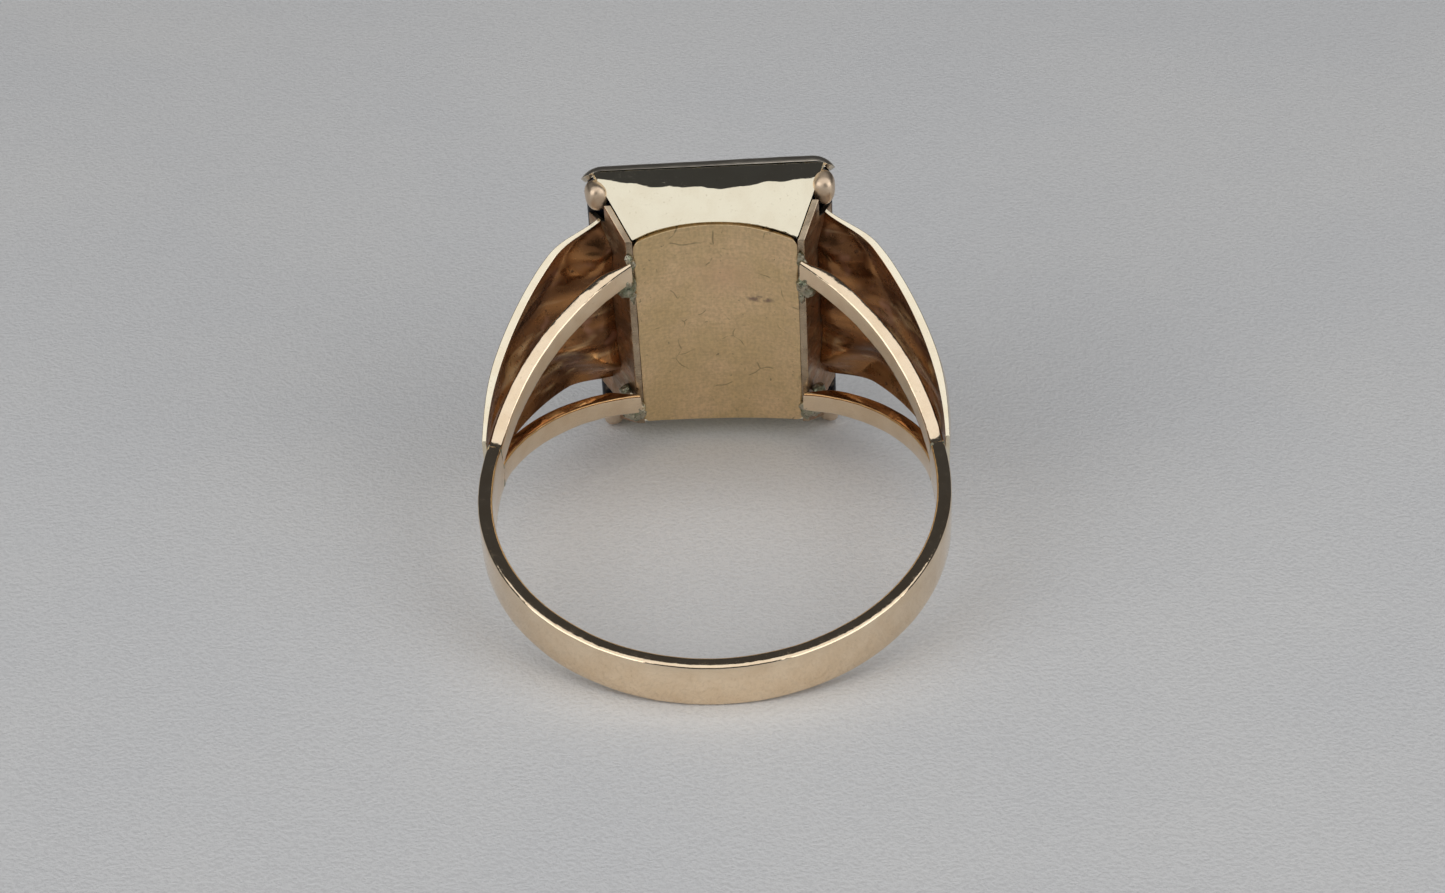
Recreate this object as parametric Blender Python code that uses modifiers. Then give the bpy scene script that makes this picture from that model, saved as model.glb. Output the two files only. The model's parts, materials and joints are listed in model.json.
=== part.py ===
"""Signet ring: a black onyx tablet in a boxed gold head on a forked shank.

The ring is modelled about its finger hole: X runs across the finger, Y points
from the palm side to the head and Z runs along the finger.  An empty then lays
the ring down as it lies on a table, resting on one long edge of the head and
on the back of the band, with the origin under the middle of the ring.
"""
import math

import bmesh
import bpy
from mathutils import Matrix, Vector

MM = 0.001

# Finger hole: round behind, slightly oval towards the head.
HOLE_RADIUS = 10.0 * MM
HOLE_HEAD_REACH = 11.5 * MM

# Band.
BAND_WIDTH = 2.51 * MM
BAND_THICKNESS = 0.65 * MM
BAND_EDGE_ROUNDING = 0.11 * MM
BAND_STEPS = 56
SEAM_ANGLE = math.radians(13.0)
SOLDER_THICKNESS = 0.10 * MM
SOLDER_GAP = 0.03 * MM

# Forked gallery rails: two on each side, spreading from the seam to the head.
RAIL_WIDTH = 1.24 * MM
RAIL_HEAD_WIDTH = 1.10 * MM
RAIL_SPREAD = 0.385
RAIL_SPREAD_EASE = 0.5 * MM
RAIL_EDGE_ROUNDING = 0.10 * MM
RAIL_STEPS = 14

# Pressed shoulder wings: each edge line is an arc seen along the finger.
WING_CENTRE_X = 3.86 * MM
WING_CENTRE_Y = 2.51 * MM
WING_RADIUS = 14.30 * MM
WING_TAIL_ANGLE = math.radians(1.5)
WING_THICKNESS = 0.40 * MM
WING_JOINT_HALF_WIDTH = 1.27 * MM
WING_SPREAD = 0.325
WING_BULGE = 0.42 * MM
WING_PANEL_DEPTH = 1.25 * MM
WING_RIDGE_SHARE = 0.28
WING_STEPS = (20, 18)

# Where the pressed shapes begin and end, as shares of a wing's length or half width.
RIDGE_RISE = (0.15, 0.60)
RIDGE_FLANK = (0.05, 0.42)
PANEL_RISE = (0.66, 0.96)
PANEL_WIDENING = (0.62, 1.00)
PANEL_HALF_WIDTHS = (0.10, 0.70)
PANEL_FLANK = 0.42

# Boxed head made of thin sheet.
SHEET = 0.28 * MM
PLATE_HALF_WIDTH = 3.76 * MM
PLATE_CORNER_Y = 11.0 * MM
PLATE_MIDDLE_Y = 11.65 * MM
PLATE_THICKNESS = 0.45 * MM
PLATE_HALF_LENGTH = 5.76 * MM
CREASE_Y = 13.64 * MM
CREASE_HALF_LENGTH = 8.20 * MM
SIDE_FLARE = 0.633
HEAD_GAP = 0.03 * MM
PLATE_EDGE_ROUNDING = 0.08 * MM
PLATE_STEPS = 12
WALL_NOTCH_Y = 12.45 * MM
WALL_TOP_HALF_LENGTH = 6.35 * MM
WALL_END_RECESS = 0.15 * MM

# End bezels: the sheet is cut this much longer along Z because its wall slopes.
BEZEL_SLANT_SHEET = SHEET * 1.25
BEZEL_SLOPE = (CREASE_HALF_LENGTH - PLATE_HALF_LENGTH - HEAD_GAP - BEZEL_SLANT_SHEET) / (
    CREASE_Y - PLATE_CORNER_Y)
BEZEL_COLUMNS = 24
BEZEL_WALL_SHARES = (0.0, 0.3, 0.65)

# Bezel rim: height, offset outside the stone, and degrees that it turns round the stone's corner.
BEZEL_RIM = (
    (CREASE_Y, 0.32 * MM, 22),
    (13.76 * MM, 0.35 * MM, 40),
    (13.90 * MM, 0.32 * MM, 60),
    (14.02 * MM, 0.31 * MM, 66),
    (14.20 * MM, 0.20 * MM, 66),
    (14.46 * MM, -0.10 * MM, 66),
)

# Corner claws: share of the height, lean outwards, and how far each end is past the wall's notch.
CLAW_LEVELS = (
    (0.00, 0.00 * MM, 0.00 * MM, 0.85 * MM),
    (0.40, 0.02 * MM, 0.00 * MM, 1.15 * MM),
    (0.75, 0.12 * MM, 0.04 * MM, 1.36 * MM),
    (1.00, 0.24 * MM, 0.12 * MM, 1.32 * MM),
)
CLAW_WALL_CLEARANCE = 0.02 * MM
CLAW_EDGE_ROUNDING = 0.10 * MM

# Ledges under the stone's ends and lumps of solder behind the rails.
BEARER_SIZE = (9.60 * MM, 0.36 * MM, 0.50 * MM)
BEARER_Z = 7.22 * MM
BEARER_EDGE_ROUNDING = 0.05 * MM
LUMP_RADII = (0.24 * MM, 0.34 * MM, 0.36 * MM)
LUMP_CENTRE = (4.06 * MM, 10.60 * MM, 3.20 * MM)

# Onyx tablet.
STONE_HALF_WIDTH = 5.85 * MM
STONE_HALF_LENGTH = 7.88 * MM
STONE_CORNER_RADIUS = 0.90 * MM
STONE_UNDERSIDE_Y = 13.67 * MM
STONE_GIRDLE_Y = 13.97 * MM
STONE_TABLE_Y = 14.95 * MM
STONE_BEVEL_INSET = 0.95 * MM
STONE_CHAMFER = 0.08 * MM
STONE_CORNER_STEPS = 6

GOLD = ((0.78, 0.62, 0.36), 0.22, 1.0)
POLISHED_GOLD = ((0.86, 0.76, 0.52), 0.12, 1.0)
BRUSHED_GOLD = ((0.62, 0.50, 0.30), 0.42, 1.0)
OXIDISED_GOLD = ((0.36, 0.22, 0.11), 0.38, 1.0)
SOLDER = ((0.45, 0.45, 0.36), 0.50, 1.0)
ONYX = ((0.010, 0.012, 0.020), 0.08, 0.0)

SIDES = {"left": -1, "right": 1}
ENDS = {"lower": -1, "upper": 1}


def clear_scene():
    for old_object in list(bpy.data.objects):
        bpy.data.objects.remove(old_object, do_unlink=True)


def make_material(name, look):
    colour, roughness, metallic = look
    material = bpy.data.materials.new(name)
    material.use_nodes = True
    shader = material.node_tree.nodes["Principled BSDF"]
    shader.inputs["Base Color"].default_value = (*colour, 1.0)
    shader.inputs["Roughness"].default_value = roughness
    shader.inputs["Metallic"].default_value = metallic
    material.diffuse_color = (*colour, 1.0)
    return material


def make_collection(name):
    collection = bpy.data.collections.new(name)
    bpy.context.scene.collection.children.link(collection)
    return collection


def add_piece(ring, name, data, look):
    """Put one named piece, curve or mesh, in the ring's collection under its pose empty."""
    piece = bpy.data.objects.new(name, data)
    data.materials.append(make_material(name + "_metal" if look[2] else name + "_gem", look))
    ring["collection"].objects.link(piece)
    piece.parent = ring["pose"]
    return piece


def add_mesh_piece(ring, name, bm, look, smooth=True):
    bmesh.ops.recalc_face_normals(bm, faces=bm.faces)
    mesh = bpy.data.meshes.new(name)
    bm.to_mesh(mesh)
    bm.free()
    if smooth:
        mesh.shade_smooth()
        mesh.set_sharp_from_angle(angle=math.radians(35))
    return add_piece(ring, name, mesh, look)


def round_edges(piece, width, segments=2):
    bevel = piece.modifiers.new("rounded_edges", "BEVEL")
    bevel.width = width
    bevel.segments = segments
    bevel.limit_method = "ANGLE"
    bevel.angle_limit = math.radians(40)


def loft(sections):
    """Close a skin over matching sections, with a flat cap at each end."""
    bm = bmesh.new()
    rows = [[bm.verts.new(point) for point in section] for section in sections]
    count = len(rows[0])
    for near, far in zip(rows, rows[1:]):
        for i in range(count):
            following = (i + 1) % count
            bm.faces.new((near[i], near[following], far[following], far[i]))
    bm.faces.new(rows[0])
    bm.faces.new(rows[-1])
    return bm


def open_sheet(rows):
    """Join rows of points into one open surface, ready for Solidify."""
    bm = bmesh.new()
    grid = [[bm.verts.new(point) for point in row] for row in rows]
    for near, far in zip(grid, grid[1:]):
        for i in range(len(near) - 1):
            bm.faces.new((near[i], near[i + 1], far[i + 1], far[i]))
    return bm


def thicken(piece, thickness, outward):
    shell = piece.modifiers.new("sheet_thickness", "SOLIDIFY")
    shell.thickness = thickness
    shell.offset = 1.0 if outward else -1.0
    shell.use_even_offset = True
    shell.use_rim = True


def flat_piece(ring, name, outline, thickness, look):
    """A flat outline cut from sheet, centred on its own XY plane."""
    curve = bpy.data.curves.new(name, "CURVE")
    curve.dimensions = "2D"
    curve.fill_mode = "BOTH"
    curve.extrude = thickness / 2
    spline = curve.splines.new("POLY")
    spline.points.add(len(outline) - 1)
    for point, (x, y) in zip(spline.points, outline):
        point.co = (x, y, 0.0, 1.0)
    spline.use_cyclic_u = True
    piece = add_piece(ring, name, curve, look)
    weld = piece.modifiers.new("closed_caps", "WELD")
    weld.merge_threshold = 0.00001
    return piece


def hole_point(angle, offset=0.0):
    """Point on the finger hole's outline, moved out from the hole by offset."""
    reach = HOLE_HEAD_REACH if angle > 0.0 else HOLE_RADIUS
    x = HOLE_RADIUS * math.cos(angle)
    y = reach * math.sin(angle)
    outward = Vector((math.cos(angle) / HOLE_RADIUS, math.sin(angle) / reach, 0.0)).normalized()
    return Vector((x, y, 0.0)) + offset * outward


def side_wall_inner_x(y):
    return PLATE_HALF_WIDTH + HEAD_GAP + SIDE_FLARE * (y - PLATE_CORNER_Y)


def side_wall_outer_x(y):
    return side_wall_inner_x(y) + SHEET * math.hypot(1.0, SIDE_FLARE)


def distance_to_wall(point):
    """How far a point is outside the side wall, measured along X."""
    return point.x - side_wall_outer_x(point.y) - 1.3 * HEAD_GAP


def angle_at_wall(point_at, low, high):
    """The angle where a line of points, given by point_at, meets the side wall."""
    for _ in range(40):
        middle = (low + high) / 2
        if distance_to_wall(point_at(middle)) > 0.0:
            low = middle
        else:
            high = middle
    return low


def plate_finger_y(x):
    """Height of the back plate's finger face, an arc across the head."""
    sagitta = PLATE_MIDDLE_Y - PLATE_CORNER_Y
    radius = (PLATE_HALF_WIDTH ** 2 + sagitta ** 2) / (2 * sagitta)
    return PLATE_MIDDLE_Y - radius + math.sqrt(radius ** 2 - x ** 2)


def plate_end_z(y):
    return PLATE_HALF_LENGTH + BEZEL_SLOPE * (y - PLATE_CORNER_Y)


def bezel_outer_z(y):
    return plate_end_z(y) + HEAD_GAP + BEZEL_SLANT_SHEET


def stone_outline_point(distance, offset):
    """Walk along the stone's end outline from its middle, at an offset outside it."""
    straight = STONE_HALF_WIDTH - STONE_CORNER_RADIUS
    radius = STONE_CORNER_RADIUS + offset
    z_centre = STONE_HALF_LENGTH - STONE_CORNER_RADIUS
    turn = max(0.0, distance - straight) / radius
    x = min(distance, straight) + radius * math.sin(turn)
    return x, z_centre + radius * math.cos(turn)


def make_band(ring):
    start = SEAM_ANGLE - (SOLDER_THICKNESS / 2 + SOLDER_GAP) / HOLE_HEAD_REACH
    sweep = math.pi + 2 * start
    angles = [start - sweep * i / BAND_STEPS for i in range(BAND_STEPS + 1)]
    inner = []
    outer = []
    for angle in angles:
        mirrored = angle < -math.pi / 2
        right_angle = -math.pi - angle if mirrored else angle
        side = -1 if mirrored else 1
        for points, offset in ((inner, 0.0), (outer, BAND_THICKNESS)):
            point = hole_point(right_angle, offset)
            points.append((side * point.x, point.y))
    band = flat_piece(ring, "shank_band", inner + outer[::-1], BAND_WIDTH, GOLD)
    round_edges(band, BAND_EDGE_ROUNDING)


def make_seam_solder(ring, side_name, side):
    """The thin solder wafer between a band end and its fork."""
    middle = hole_point(SEAM_ANGLE, BAND_THICKNESS / 2)
    outward = hole_point(SEAM_ANGLE, 1.0) - hole_point(SEAM_ANGLE)
    bm = bmesh.new()
    size = Matrix.Diagonal((BAND_THICKNESS * 0.94, SOLDER_THICKNESS, BAND_WIDTH * 0.97, 1.0))
    bmesh.ops.create_cube(bm, size=1.0, matrix=size)
    wafer = add_mesh_piece(ring, side_name + "_seam_solder", bm, SOLDER, smooth=False)
    wafer.location = (side * middle.x, middle.y, 0.0)
    wafer.rotation_euler.z = side * math.atan2(outward.y, outward.x)


def rail_section(angle, outer_angle, travelled, width):
    """Four corners of a rail: inner and outer face, low and high edge."""
    eased = math.hypot(travelled, RAIL_SPREAD_EASE) - RAIL_SPREAD_EASE
    low = HEAD_GAP / 2 + RAIL_SPREAD * eased
    high = low + width
    inner = hole_point(angle)
    outer = hole_point(outer_angle, BAND_THICKNESS)
    return [Vector((corner.x, corner.y, z))
            for corner, z in ((inner, low), (outer, low), (outer, high), (inner, high))]


def make_rail(ring, side_name, side, end_name, end):
    start = SEAM_ANGLE + (SOLDER_THICKNESS / 2 + SOLDER_GAP) / HOLE_HEAD_REACH
    inner_stop = angle_at_wall(hole_point, start, math.pi / 2)
    outer_stop = angle_at_wall(lambda a: hole_point(a, BAND_THICKNESS), start, math.pi / 2)
    sections = []
    travelled = 0.0
    last = hole_point(start)
    for i in range(RAIL_STEPS + 1):
        share = i / RAIL_STEPS
        angle = start + share * (inner_stop - start)
        outer_angle = start + share * (outer_stop - start)
        travelled += (hole_point(angle) - last).length
        last = hole_point(angle)
        width = RAIL_WIDTH + share * (RAIL_HEAD_WIDTH - RAIL_WIDTH)
        corners = rail_section(angle, outer_angle, travelled, width)
        sections.append([Vector((side * p.x, p.y, end * p.z)) for p in corners])
    rail = add_mesh_piece(ring, f"{side_name}_{end_name}_gallery_rail", loft(sections), GOLD)
    round_edges(rail, RAIL_EDGE_ROUNDING)


def smooth_step(low, high, value):
    share = min(1.0, max(0.0, (value - low) / (high - low)))
    return share * share * (3.0 - 2.0 * share)


def wing_relief(along, across):
    """How far the pressed sheet stands out from its edge line.

    Two lobes swell outwards and a ridge is pressed in between them.  The ridge
    widens into a flat sunk panel where the wing meets the head.
    """
    swell = math.sin(math.pi * min(1.0, max(0.0, along)))
    lobes = WING_BULGE * swell * (1.0 - across ** 2)
    off_middle = abs(across)
    crest = 1.0 - smooth_step(*RIDGE_FLANK, off_middle)
    ridge = WING_RIDGE_SHARE * smooth_step(*RIDGE_RISE, along) * crest
    narrow, wide = PANEL_HALF_WIDTHS
    flat = narrow + (wide - narrow) * smooth_step(*PANEL_WIDENING, along)
    floor = 1.0 - smooth_step(flat, min(1.0, flat + PANEL_FLANK), off_middle)
    panel = smooth_step(*PANEL_RISE, along) * floor
    return lobes - WING_PANEL_DEPTH * max(ridge, panel)


def wing_point(angle, across, head_angle):
    """Inner face of a wing; across runs from -1 to 1 over its width."""
    along = (angle - WING_TAIL_ANGLE) / (head_angle - WING_TAIL_ANGLE)
    radius = WING_RADIUS + wing_relief(along, across)
    spread = WING_SPREAD * WING_RADIUS * max(0.0, angle)
    x = -WING_CENTRE_X + radius * math.cos(angle)
    y = WING_CENTRE_Y + radius * math.sin(angle)
    return Vector((x, y, across * (WING_JOINT_HALF_WIDTH + spread)))


def make_wing(ring, side_name, side):
    steps_along, steps_across = WING_STEPS
    highest = math.radians(72)
    edge_stop = angle_at_wall(lambda a: wing_point(a, 1.0, math.pi / 4), WING_TAIL_ANGLE, highest)
    rows = []
    for j in range(steps_across + 1):
        across = 2.0 * j / steps_across - 1.0
        stop = angle_at_wall(lambda a: wing_point(a, across, edge_stop), WING_TAIL_ANGLE, highest)
        row = []
        for i in range(steps_along + 1):
            angle = WING_TAIL_ANGLE + (stop - WING_TAIL_ANGLE) * i / steps_along
            point = wing_point(angle, across, edge_stop)
            row.append(Vector((side * point.x, point.y, side * point.z)))
        rows.append(row)
    wing = add_mesh_piece(ring, side_name + "_shoulder_wing", open_sheet(rows), GOLD)
    middle = wing.data.polygons[len(wing.data.polygons) // 2]
    thicken(wing, WING_THICKNESS, outward=side * middle.normal.x > 0.0)


def make_back_plate(ring):
    sections = []
    for i in range(PLATE_STEPS + 1):
        x = PLATE_HALF_WIDTH * (2.0 * i / PLATE_STEPS - 1.0)
        finger = plate_finger_y(x)
        hidden = finger + PLATE_THICKNESS
        sections.append([Vector((x, y, end * plate_end_z(y)))
                         for y, end in ((finger, -1), (hidden, -1), (hidden, 1), (finger, 1))])
    plate = add_mesh_piece(ring, "back_plate", loft(sections), BRUSHED_GOLD)
    round_edges(plate, PLATE_EDGE_ROUNDING)


def bezel_rows():
    """Rows of the end bezel's outer face: the sloped wall, then the rim and lip round the stone."""
    columns = [2.0 * i / BEZEL_COLUMNS - 1.0 for i in range(BEZEL_COLUMNS + 1)]
    rows = []
    for share in BEZEL_WALL_SHARES:
        row = []
        for u in columns:
            x_low = u * PLATE_HALF_WIDTH
            y_low = plate_finger_y(x_low)
            y = y_low + share * (CREASE_Y - y_low)
            x = u * (PLATE_HALF_WIDTH + SIDE_FLARE * (y - PLATE_CORNER_Y))
            x = min(abs(x), side_wall_inner_x(y) - HEAD_GAP) * math.copysign(1.0, u)
            row.append(Vector((x, y, bezel_outer_z(y))))
        rows.append(row)
    straight = STONE_HALF_WIDTH - STONE_CORNER_RADIUS
    for y, offset, turn_degrees in BEZEL_RIM:
        reach = straight + (STONE_CORNER_RADIUS + offset) * math.radians(turn_degrees)
        row = []
        for u in columns:
            x, z = stone_outline_point(abs(u) * reach, offset)
            row.append(Vector((math.copysign(x, u), y, z)))
        rows.append(row)
    return rows


def make_end_bezel(ring, end_name, end):
    rows = [[Vector((p.x, p.y, end * p.z)) for p in row] for row in bezel_rows()]
    bezel = add_mesh_piece(ring, end_name + "_end_bezel", open_sheet(rows), POLISHED_GOLD)
    wall_face = bezel.data.polygons[BEZEL_COLUMNS // 2]
    thicken(bezel, SHEET, outward=end * wall_face.normal.z < 0.0)


def make_bearer(ring, end_name, end):
    """The ledge soldered inside a bezel, under the end of the stone."""
    bm = bmesh.new()
    bmesh.ops.create_cube(bm, size=1.0, matrix=Matrix.Diagonal((*BEARER_SIZE, 1.0)))
    bearer = add_mesh_piece(ring, end_name + "_stone_bearer", bm, OXIDISED_GOLD, smooth=False)
    bearer.location = (0.0, STONE_UNDERSIDE_Y - HEAD_GAP - BEARER_SIZE[1] / 2, end * BEARER_Z)
    round_edges(bearer, BEARER_EDGE_ROUNDING, segments=1)


def make_side_wall(ring, side_name, side):
    """A flared side of the box head, notched at its upper corners for the claws."""
    stretch = math.hypot(1.0, SIDE_FLARE)
    top = STONE_UNDERSIDE_Y - 2 * HEAD_GAP
    notch_z = bezel_outer_z(WALL_NOTCH_Y) - WALL_END_RECESS
    half = ((PLATE_CORNER_Y, bezel_outer_z(PLATE_CORNER_Y) - WALL_END_RECESS), (WALL_NOTCH_Y, notch_z),
            (WALL_NOTCH_Y, WALL_TOP_HALF_LENGTH), (top, WALL_TOP_HALF_LENGTH))
    outline = [(z, (y - PLATE_CORNER_Y) * stretch) for y, z in half]
    outline += [(-z, height) for z, height in reversed(outline)]
    wall = flat_piece(ring, side_name + "_side_wall", outline, SHEET, OXIDISED_GOLD)
    middle_x = (side_wall_inner_x(PLATE_CORNER_Y) + side_wall_outer_x(PLATE_CORNER_Y)) / 2
    along = Vector((0.0, 0.0, 1.0))
    up = Vector((side * SIDE_FLARE, 1.0, 0.0)).normalized()
    turned = Matrix((along, up, along.cross(up))).transposed()
    wall.matrix_local = Matrix.Translation((side * middle_x, PLATE_CORNER_Y, 0.0)) @ turned.to_4x4()


def make_corner_claw(ring, side_name, side, end_name, end):
    """An ear that rises from the side wall's corner and flares out under the stone's corner."""
    low = WALL_NOTCH_Y + HEAD_GAP
    top = STONE_UNDERSIDE_Y - HEAD_GAP
    sections = []
    for share, lean, near_z, far_z in CLAW_LEVELS:
        y = low + share * (top - low)
        inner_x = side_wall_inner_x(y) + CLAW_WALL_CLEARANCE + lean / 5
        outer_x = side_wall_outer_x(y) + lean
        near = WALL_TOP_HALF_LENGTH + HEAD_GAP + near_z
        far = WALL_TOP_HALF_LENGTH + far_z
        sections.append([Vector((side * x, y, end * z))
                         for x, z in ((inner_x, near), (outer_x, near), (outer_x, far), (inner_x, far))])
    claw = add_mesh_piece(ring, f"{side_name}_{end_name}_corner_claw", loft(sections), GOLD)
    round_edges(claw, CLAW_EDGE_ROUNDING)


def make_rail_solder(ring, side_name, side, end_name, end):
    """The lump of solder in the angle between a rail and the back plate."""
    bm = bmesh.new()
    size = Matrix.Diagonal((*LUMP_RADII, 1.0))
    bmesh.ops.create_uvsphere(bm, u_segments=10, v_segments=6, radius=1.0, matrix=size)
    lump = add_mesh_piece(ring, f"{side_name}_{end_name}_rail_solder", bm, SOLDER)
    x, y, z = LUMP_CENTRE
    lump.location = (side * x, y, end * z)


def make_stone(ring):
    """The tablet: flat underside, upright girdle, bevelled edge and flat table."""
    levels = ((STONE_UNDERSIDE_Y, STONE_CHAMFER), (STONE_UNDERSIDE_Y + STONE_CHAMFER, 0.0),
              (STONE_GIRDLE_Y, 0.0), (STONE_TABLE_Y, STONE_BEVEL_INSET))
    sections = []
    for y, inset in levels:
        section = []
        for x_side, z_side, first in ((1, 1, 0), (1, -1, 1), (-1, -1, 0), (-1, 1, 1)):
            radius = STONE_CORNER_RADIUS - inset * 0.6
            x_centre = STONE_HALF_WIDTH - inset - radius
            z_centre = STONE_HALF_LENGTH - inset - radius
            for i in range(STONE_CORNER_STEPS + 1):
                step = STONE_CORNER_STEPS - i if first else i
                turn = math.pi / 2 * step / STONE_CORNER_STEPS
                section.append(Vector((x_side * (x_centre + radius * math.sin(turn)), y,
                                       z_side * (z_centre + radius * math.cos(turn)))))
        sections.append(section)
    add_mesh_piece(ring, "signet_stone", loft(sections), ONYX)


def lay_down(ring):
    """Tilt the ring onto its two resting edges and centre its box over the origin."""
    back_y = -(HOLE_RADIUS + BAND_THICKNESS)
    tilt = math.atan2(CREASE_HALF_LENGTH - BAND_WIDTH / 2, CREASE_Y - back_y)
    ring["pose"].rotation_euler.x = tilt
    bpy.context.view_layer.update()
    depsgraph = bpy.context.evaluated_depsgraph_get()
    corners = []
    for piece in ring["collection"].objects:
        evaluated = piece.evaluated_get(depsgraph)
        if piece.type == "EMPTY":
            continue
        mesh = evaluated.to_mesh()
        corners += [evaluated.matrix_world @ vertex.co for vertex in mesh.vertices]
        evaluated.to_mesh_clear()
    low = Vector([min(corner[axis] for corner in corners) for axis in range(3)])
    high = Vector([max(corner[axis] for corner in corners) for axis in range(3)])
    ring["pose"].location = (-(low.x + high.x) / 2, -(low.y + high.y) / 2, -low.z)
    bpy.context.view_layer.update()


def main():
    clear_scene()
    ring = {"collection": make_collection("signet_ring"), "pose": bpy.data.objects.new("ring_pose", None)}
    ring["collection"].objects.link(ring["pose"])
    make_band(ring)
    make_back_plate(ring)
    for side_name, side in SIDES.items():
        make_seam_solder(ring, side_name, side)
        make_wing(ring, side_name, side)
        make_side_wall(ring, side_name, side)
        for end_name, end in ENDS.items():
            make_rail(ring, side_name, side, end_name, end)
            make_rail_solder(ring, side_name, side, end_name, end)
            make_corner_claw(ring, side_name, side, end_name, end)
    for end_name, end in ENDS.items():
        make_end_bezel(ring, end_name, end)
        make_bearer(ring, end_name, end)
    make_stone(ring)
    lay_down(ring)


main()
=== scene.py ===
"""Looks of the signet ring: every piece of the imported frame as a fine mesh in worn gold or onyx.

Shapes are worked out in the ring's own axes: X across the finger, Y from the palm side to the head
and Z along the finger, about the middle of the finger hole.  There, lengths are in millimetres.
POSE then lays the shapes down in metres, as the ring lies on its table.
"""
import json
import math

import bmesh
import bpy
from mathutils import Matrix, Vector, noise


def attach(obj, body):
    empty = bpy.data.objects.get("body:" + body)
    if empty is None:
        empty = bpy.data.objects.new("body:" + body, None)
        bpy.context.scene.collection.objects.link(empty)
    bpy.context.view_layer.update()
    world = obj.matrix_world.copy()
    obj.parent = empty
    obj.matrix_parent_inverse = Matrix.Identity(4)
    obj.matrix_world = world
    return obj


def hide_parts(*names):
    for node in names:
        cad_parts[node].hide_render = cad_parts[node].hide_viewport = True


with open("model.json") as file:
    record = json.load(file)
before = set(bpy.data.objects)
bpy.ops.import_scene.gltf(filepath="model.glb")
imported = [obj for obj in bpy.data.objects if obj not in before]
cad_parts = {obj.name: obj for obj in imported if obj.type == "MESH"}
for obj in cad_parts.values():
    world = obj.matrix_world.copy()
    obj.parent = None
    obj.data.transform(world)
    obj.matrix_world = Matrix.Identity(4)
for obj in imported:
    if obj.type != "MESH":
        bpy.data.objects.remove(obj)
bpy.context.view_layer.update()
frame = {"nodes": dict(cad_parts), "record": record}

# Without a seed of its own, noise_vector would differ from run to run.
NOISE_SEED = 3
noise.seed_set(NOISE_SEED)

MM = 0.001
SIDES = {"left": -1, "right": 1}
ENDS = {"lower": -1, "upper": 1}
ALONG_FINGER = Vector((0.0, 0.0, 1.0))

# Finger hole: round at the palm side and slightly oval towards the head.
HOLE_RADIUS = 10.0
HOLE_HEAD_REACH = 11.5

# Band. It ends a little above the middle of the hole, where the fork starts.
BAND_WIDTH = 2.51
BAND_THICKNESS = 0.65
BAND_ROUNDING = 0.13
BAND_CROWN = 0.02
BAND_WANDER = 0.02
BAND_WANDER_SIZE = 3.0
BAND_STEPS = 300
SEAM_ANGLE = math.radians(13.0)

# Solder bead round the seam: places of its sections, and how far the bead swells.
SEAM_BEAD_SHARES = (-1.0, -0.6, -0.2, 0.2, 0.6, 1.0)
SEAM_BEAD_HALF_ANGLE = 0.012
SEAM_BEAD_SWELL = 0.012

# Gallery rails. The two of a side part from each other along a curve that starts gently.
RAIL_WIDTH = 1.24
RAIL_HEAD_WIDTH = 1.10
RAIL_SPREAD = 0.385
RAIL_SPREAD_EASE = 0.5
RAIL_CROTCH_GAP = 0.015
RAIL_ROUNDING = 0.11
RAIL_CROWN = 0.025
RAIL_THINNING = 0.55
RAIL_THINNING_START = 0.86
RAIL_WANDER = 0.03
RAIL_WANDER_SIZE = 1.7
RAIL_WANDER_SEED = 9.0
RAIL_STEPS = 90

# Pressed shoulder wings. A wing runs along an arc from its tail, at 0, to the head, at 1; pairs of
# numbers below are the stretch of it in which something sets in.
WING_CENTRE = Vector((-3.86, 2.51, 0.0))
WING_RADIUS = 14.30
WING_TAIL_ANGLE = math.radians(1.5)
WING_EDGE_ANGLE = math.radians(45)
WING_LAST_ANGLE = math.radians(72)
WING_TAIL_THICKNESS = 0.20
WING_THICKNESS = 0.40
WING_THICKENING = (0.0, 0.35)
WING_THINNING = (0.70, 1.0)
WING_THINNING_SHARE = 0.5
WING_JOINT_HALF_WIDTH = 1.27
WING_SPREAD = 0.325
WING_LIFT = 0.70
WING_LIFTING = (0.25, 1.0)
WING_TIP_CURL = 0.60
WING_CURLING = (0.78, 1.0)
WING_BULGE = 0.42
WING_PANEL_DEPTH = 1.25
WING_RIDGE_SHARE = 0.28
WING_STEPS = (110, 90)

# The wings' middle ridge and sunk panel; a flank is a stretch across the wing, from its middle.
RIDGE_RISE = (0.15, 0.60)
RIDGE_FLANK = (0.05, 0.42)
PANEL_RISE = (0.66, 0.96)
PANEL_WIDENING = (0.62, 1.00)
PANEL_HALF_WIDTHS = (0.10, 0.70)
PANEL_FLANK = 0.42

# Creases in the wings: where they set in, their height, how often they come along and across the
# wing, a seed, and how much weaker they are outside.
FOLD_RISE = (0.10, 0.40)
BROAD_FOLDS = (0.42, 2.6, 2.3, 4.7)
FINE_FOLDS = (0.10, 5.2, 6.5, 8.3)
FOLDS_LOST_OUTSIDE = 0.7

# Box head: its walls' sheet, the gap between neighbours in the CAD model, and the hairline gap
# that is left here where two of them meet in a seam.
SHEET = 0.28
HEAD_GAP = 0.03
SEAM_GAP = 0.004
SIDE_FLARE = 0.633
CREASE_Y = 13.64
CREASE_HALF_LENGTH = 8.20

# How far the real head is askew at its crease: moved to the left, narrower, and its upper end
# turned, all of them nothing at the back plate.
HEAD_SHIFT = 0.28
HEAD_NARROWING = 0.025
HEAD_SLANT = 0.040

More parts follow.
